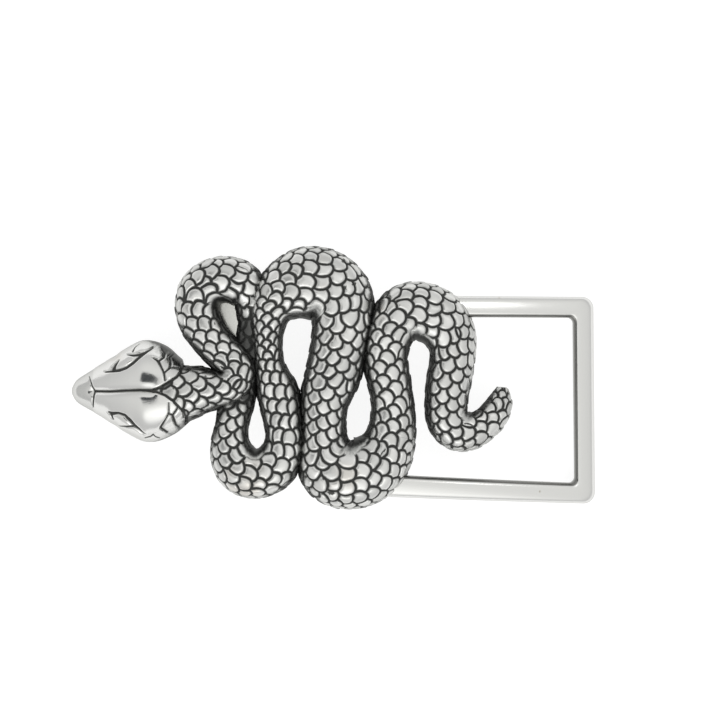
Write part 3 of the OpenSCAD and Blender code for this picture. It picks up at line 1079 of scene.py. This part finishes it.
@dataclass
class SnakeHead:
    """The broad head: nose cap, two crown plates, eyes and brows, and small plates behind, in mm."""

    finish: AntiquedSilver
    nose_x: float = -49.6
    height: float = 8.4
    squareness: float = 2.6
    usual_half: float = 7.5
    usual_height: float = 7.6
    step: float = 0.12
    soften_rows: int = 3
    top: int = 250
    under: int = 10
    crown_depth: float = 0.55
    crown_reach: float = 0.75
    crown_range: Span = (31.5, 34.5)
    line_core: float = 0.14
    line_reach: float = 0.17
    plate_shade: float = 0.1
    nose_shade: float = 0.7
    nose_range: Span = (45.1, 45.5)

    def rounded(self, v: Array) -> Array:
        """Share of the height at shares of the half width."""
        return np.maximum(0, 1 - np.abs(v) ** self.squareness) ** 0.5

    def surface(self) -> Surface:
        """Works out the plain skin of the head.

        Returns:
            The skin, closed under the head along the bowed back.
        """
        rows = curve_through([(r[0], 0.0, r[1], r[2]) for r in HEAD_SECTIONS], self.step)
        share = curve_through([(r[0], 0.0, r[3], 0.0) for r in HEAD_SECTIONS], self.step)[:, 2]
        rows[:, 2:] = smooth(rows[:, 2:], self.soften_rows)
        share = smooth(share, self.soften_rows)
        a = np.linspace(-1, 1, FINE)
        run = run_along(np.stack([a * self.usual_half, self.rounded(a) * self.usual_height], axis=1))
        v = np.interp(np.linspace(0, run[-1], self.top), run, a)
        x = np.repeat(self.nose_x + rows[:, 0:1], self.top, axis=1)
        y = rows[:, 2:3] + rows[:, 3:4] * v[None]
        z = BACK.height(x) + self.height * share[:, None] * self.rounded(v)[None]
        places = close_under(np.stack([x, y, z], axis=2), self.under, 0.01, 1.0)
        return Surface("head", places, self.top)

    def carve(self, surface: Surface) -> None:
        """Cuts the lines, plates and eyes into the head's skin.

        Args:
            surface: the head's plain skin.
        """
        skin = surface.places[:, : surface.top]
        x, y = skin[..., 0], skin[..., 1]
        relief = np.zeros(x.shape)
        for start, end, reach, rise in SWELLINGS:
            d, _ = line_distance(x, y, [start, end])
            relief += rise * np.exp(-((d / reach) ** 2))
        middle, _ = line_distance(x, y, CARVINGS["crown_groove"].points)
        valley = np.exp(-((middle / self.crown_reach) ** 2))
        relief -= self.crown_depth * valley * ramp(-x, *self.crown_range)
        groove = np.full(x.shape, 1.0)
        cut = np.zeros(x.shape)
        for carving in CARVINGS.values():
            d, width = line_distance(x, y, carving.points)
            g = np.maximum(d - (width - self.line_core) / 2, 0)
            groove = np.minimum(groove, g)
            cut = np.maximum(cut, carving.depth * np.exp(-((g / self.line_reach) ** 2)))
        relief -= cut
        relief *= foot_fade(skin)
        relief -= TUCK_DEPTH * ramp(behind_neck_edge(x, y), 0.0, TUCK_REACH)
        surface.raise_by(relief)
        surface.set_layer(Layer.GROOVE, groove, 1.0)
        cap = ramp(-surface.places[..., 0], *self.nose_range)
        surface.layers[Layer.SHADE] = self.plate_shade + self.nose_shade * cap

    def build(self, surface: Surface) -> None:
        """Makes the head's piece and dresses it."""
        made = surface.build(0, len(surface.places) - 1, "snake_head")
        dress(made, self.finish.build())
        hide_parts("snake")


def behind_neck_edge(x: Array, y: Array) -> Array:
    """Distance behind the edge of the head's plates, negative in front of it."""
    line_y = np.array([p[1] for p in NECK_EDGE])
    line_x = np.array([p[0] for p in NECK_EDGE])
    d, _ = line_distance(x, y, NECK_EDGE)
    return np.sign(x - np.interp(y, line_y, line_x)) * d


def dress(piece: bpy.types.Object, material: bpy.types.Material) -> None:
    """Gives a piece its material and slot, and lets it ride with the casting."""
    piece.data.materials.clear()
    piece.data.materials.append(material)
    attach(piece, "root")
    log.info("%s: %d faces", piece.name, len(piece.data.polygons))


@dataclass
class SnakeBody:
    """The long scaled body: neck, bends, arches and tail."""

    finish: AntiquedSilver
    pattern: ScalePattern = field(default_factory=ScalePattern)
    most_rows: int = 590
    size_blur: int = 16
    full_width: float = 7.0
    least_size: float = 0.72
    tuck_share: float = 0.9

    def surfaces(self) -> list[Surface]:
        """Works out the scaled skins of both runs."""
        skins = []
        for name, table in (("fore_coil", FORE_COIL), ("aft_coil", AFT_COIL)):
            strand = Strand(name, table)
            skin = strand.surface()
            rows = curve_through(table, strand.step)
            sizes = np.clip(smooth(rows[:, 2], self.size_blur) / self.full_width, self.least_size, 1.0)
            self.pattern.carve(skin, sizes)
            skins.append(skin)
        self.tuck_under_head(skins[0])
        return skins

    def tuck_under_head(self, skin: Surface) -> None:
        """Sinks the front of the neck below the head's plates."""
        p = skin.places[:, : skin.top]
        edge = behind_neck_edge(p[..., 0], p[..., 1])
        drop = TUCK_DEPTH * ramp(-edge, 0.0, TUCK_REACH)
        p[..., 2] -= np.minimum(drop, self.tuck_share * BACK.above(p))
        near = skin.layers[Layer.GROOVE][:, : skin.top]
        np.minimum(near, np.abs(edge), out=near)

    def build(self, skins: list[Surface]) -> None:
        """Makes the body's pieces and dresses them."""
        material = self.finish.build()
        for skin in skins:
            rows = len(skin.places) - 1
            count = math.ceil(rows / self.most_rows)
            edges = [round(rows * k / count) for k in range(count + 1)]
            for k, (first, last) in enumerate(zip(edges, edges[1:])):
                made = skin.build(first, last, f"snake_{skin.name}_{k + 1}")
                dress(made, material)
                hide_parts("snake")


@dataclass
class BeltLoop:
    """The rectangular loop of plain bar that the strap is folded round, in mm."""

    finish: PlainSilver
    bar_w: float = 4.0
    bar_t: float = 3.0
    bar_round: float = 1.0
    edge: float = 0.4
    fall: float = 0.4
    corner_out: float = 2.2
    corner_in: float = 1.1
    window_top: float = 11.4
    window_left: float = 12.47
    window_right: float = 45.6
    window_low_right: float = -20.1
    window_low_left: float = -18.3
    lean: float = 0.15
    crest: float = 0.3
    fall_from: float = 1.0
    wall_range: Span = (0.12, 0.24)
    rim_from: float = 2.80
    arc_points: int = 17
    side_points: int = 121
    edge_points: int = 11
    round_it: int = 64

    def corners(self, grow: float) -> list[tuple[float, float]]:
        """Corners of an outline that lies grow outside the window."""
        return [
            (self.window_left - grow, self.window_low_left - grow),
            (self.window_right + self.lean + grow, self.window_low_right - grow),
            (self.window_right - self.lean + grow, self.window_top + grow),
            (self.window_left - grow, self.window_top + grow),
        ]

    def outline(self, grow: float, radius: float) -> Array:
        """Rounded outline with the same number of points for every size.

        Args:
            grow: how far it lies outside the window.
            radius: radius of its corners.

        Returns:
            Points round the outline.
        """
        c = np.array(self.corners(grow))
        arcs = []
        for k in range(4):
            inward = np.array([1 if k in (0, 3) else -1, 1 if k < 2 else -1])
            a = np.radians(180 + 90 * k + np.linspace(0, 90, self.arc_points))
            arcs.append(c[k] + radius * inward + radius * np.stack([np.cos(a), np.sin(a)], axis=1))
        points = []
        for k in range(4):
            start, end = arcs[k][-1], arcs[(k + 1) % 4][0]
            t = np.linspace(0, 1, self.side_points)[1:-1, None]
            points += [arcs[k], start + (end - start) * t]
        return np.vstack([*points, points[0][:1]])

    def profile(self) -> Array:
        """Points round the bar: place across it and height, from the lower inner edge."""
        corners = [
            (self.edge, self.edge, self.edge, math.pi),
            (self.bar_w - self.edge, self.edge, self.edge, 1.5 * math.pi),
            (self.bar_w - self.bar_round, self.bar_t - self.bar_round, self.bar_round, 0.0),
            (self.bar_round, self.bar_t - self.bar_round, self.bar_round, 0.5 * math.pi),
        ]
        loop = []
        for x, z, r, start in corners:
            a = start + np.linspace(0, math.pi / 2, self.edge_points)
            loop.append(np.stack([x + r * np.cos(a), z + r * np.sin(a)], axis=1))
        loop = np.vstack([*loop, loop[0][:1]])
        run = run_along(loop)
        even = np.linspace(0, run[-1], self.round_it + 1)
        return np.stack([np.interp(even, run, c) for c in loop.T], axis=1)

    def build(self) -> None:
        """Makes the loop and dresses it."""
        inner = self.outline(0.0, self.corner_in)
        outer = self.outline(self.bar_w, self.corner_out)
        shape = self.profile()
        share = shape[:, 0] / self.bar_w
        flat = inner[:, None] + (outer - inner)[:, None] * share[None, :, None]
        slope = np.clip((share - self.crest) / (1 - self.crest), 0, 1) ** 2
        slope = slope * ramp(shape[:, 1], self.fall_from, self.bar_t)
        z = BACK.height(flat[..., 0]) + shape[None, :, 1] - self.fall * slope
        places = np.concatenate([flat, z[..., None]], axis=2)
        skin = Surface("loop", places, places.shape[1])
        # Mask of the painted shade: 0 on the inner walls, rising to 1 across the top and the outer part
        # of the bar
        inside = ramp(share, *self.wall_range) + ramp(shape[:, 1], self.rim_from, self.bar_t)
        skin.layers[Layer.OPEN] = np.tile(np.clip(inside, 0, 1), (len(places), 1))
        made = skin.build(0, len(places) - 1, "strap_loop", ring=True)
        dress(made, self.finish.build())
        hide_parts("belt_loop")


@dataclass
class BackHook:
    """The strip hook behind the neck, kept as the CAD solid."""

    finish: PlainSilver

    def build(self) -> None:
        """Dresses the CAD node."""
        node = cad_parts["back_hook"]
        node.data.materials.clear()
        node.data.materials.append(self.finish.build())
        log.info("%s: dressed", node.name)


@dataclass
class Studio:
    """Pale floor, soft light and the camera straight above."""

    camera_at: Place = (0.004, 0.0041, 0.361)
    lens: float = 94.9
    floor_glow: float = 0.84
    sky_top: float = 0.94
    sky_low: float = 0.70
    sky_tint: float = 0.985
    sky_full: float = 0.92
    key: float = 0.55
    key_way: Place = (-0.05, -0.66, 0.75)
    key_range: Span = (0.76, 0.97)
    opening: Colour = (0.04, 0.045, 0.05)
    opening_size: float = 9.0
    opening_core: float = 0.7
    opening_tilts: tuple[float, ...] = (20.0, 27.0, 34.0)
    opening_side: float = 0.12

    def light(self, name: str, place: Place, size: float, watts: float) -> None:
        """Adds a square soft light that faces the object.

        Args:
            name: name of the light.
            place: where it stands, in metres.
            size: side of the square, in metres.
            watts: its power.
        """
        data = bpy.data.lights.new(name, "AREA")
        data.shape = "SQUARE"
        data.size = size
        data.energy = watts
        made = bpy.data.objects.new(name, data)
        made.location = place
        x, y, z = place
        lean = math.acos(z / math.sqrt(x * x + y * y + z * z))
        made.rotation_euler = (lean, 0, math.atan2(y, x) + math.pi / 2)
        bpy.context.scene.collection.objects.link(made)

    def floor(self) -> None:
        """Lays the pale floor."""
        bm = bmesh.new()
        bmesh.ops.create_grid(bm, x_segments=1, y_segments=1, size=1.5)
        mesh = bpy.data.meshes.new("floor")
        bm.to_mesh(mesh)
        bm.free()
        made = bpy.data.objects.new("floor", mesh)
        bpy.context.scene.collection.objects.link(made)
        material, g = new_material("floor_paper")
        tint = g.blend(g.noise(g.place(), 40.0) * 0.3, (0.31, 0.31, 0.31), (0.29, 0.29, 0.29))
        g.finish(
            Base_Color=tint,
            Roughness=0.9,
            Specular_IOR_Level=0.1,
            Emission_Color=(1.0, 1.0, 1.0, 1.0),
            Emission_Strength=self.floor_glow,
        )
        mesh.materials.append(material)

    def towards(self, g: Graph, way: Wire, aim: Place) -> Wire:
        """How nearly a direction of the surroundings points at an aim, up to 1."""
        settings = {"operation": "DOT_PRODUCT"}
        return g.node("ShaderNodeVectorMath", settings, {0: way, 1: aim}, "Value")

    def tent(self) -> None:
        """Hangs a pale tent round the object, with a long dark opening near the top."""
        world = bpy.data.worlds.new("studio")
        world.use_nodes = True
        world.node_tree.nodes.clear()
        g = Graph(world.node_tree)
        way = g.node("ShaderNodeTexCoord", out="Generated")
        up = g.node("ShaderNodeSeparateXYZ", None, {0: way}, "Z")
        near = math.cos(math.radians(self.opening_size * self.opening_core))
        far = math.cos(math.radians(self.opening_size))
        spots = []
        for tilt in map(math.radians, self.opening_tilts):
            aim = (-math.sin(tilt), self.opening_side, math.cos(tilt))
            spots.append(self.towards(g, way, aim).step(far, near))
        spot = spots[0]
        for other in spots[1:]:
            spot = spot.up_to(other)
        fall = up.step(0.0, self.sky_full)
        low, top = self.sky_low, self.sky_top
        tent = g.blend(fall, (low, low, low), (top, top, top * self.sky_tint))
        pale = g.blend(spot, tent, self.opening)
        key = self.towards(g, way, self.key_way).step(*self.key_range) * self.key
        light = g.node("ShaderNodeBackground", None, {"Color": pale, "Strength": key + 1.0})
        end = g.tree.nodes.new("ShaderNodeOutputWorld")
        g.tree.links.new(light.socket, end.inputs["Surface"])
        bpy.context.scene.world = world

    def build(self) -> None:
        """Sets the floor, world, lights and camera."""
        scene = bpy.context.scene
        self.floor()
        self.tent()
        self.light("front_light", (-0.05, -0.60, 0.80), 0.22, 0.30)
        self.light("side_light", (0.45, 0.25, 0.85), 0.16, 0.15)
        scene.view_settings.view_transform = "Standard"
        data = bpy.data.cameras.new("camera")
        data.lens = self.lens
        data.sensor_width = 36.0
        data.clip_start = 0.01
        camera = bpy.data.objects.new("camera", data)
        camera.location = self.camera_at
        scene.collection.objects.link(camera)
        scene.camera = camera


def main() -> None:
    """Builds the sub-assemblies in order."""
    logging.basicConfig(level=logging.INFO, format="%(message)s")
    body = SnakeBody(AntiquedSilver("scaled_silver"))
    head = SnakeHead(AntiquedSilver("head_silver", shine=0.12, line_range=(0.06, 0.20), pits=0.0))
    skins = body.surfaces()
    head_skin = head.surface()
    head.carve(head_skin)
    OpenAir().fill([*skins, head_skin])
    body.build(skins)
    head.build(head_skin)
    BeltLoop(PlainSilver("loop_silver", paint_wall_shade=True)).build()
    BackHook(PlainSilver("hook_silver", silver=(0.84, 0.84, 0.80))).build()
    Studio().build()


if __name__ == "__main__":
    main()
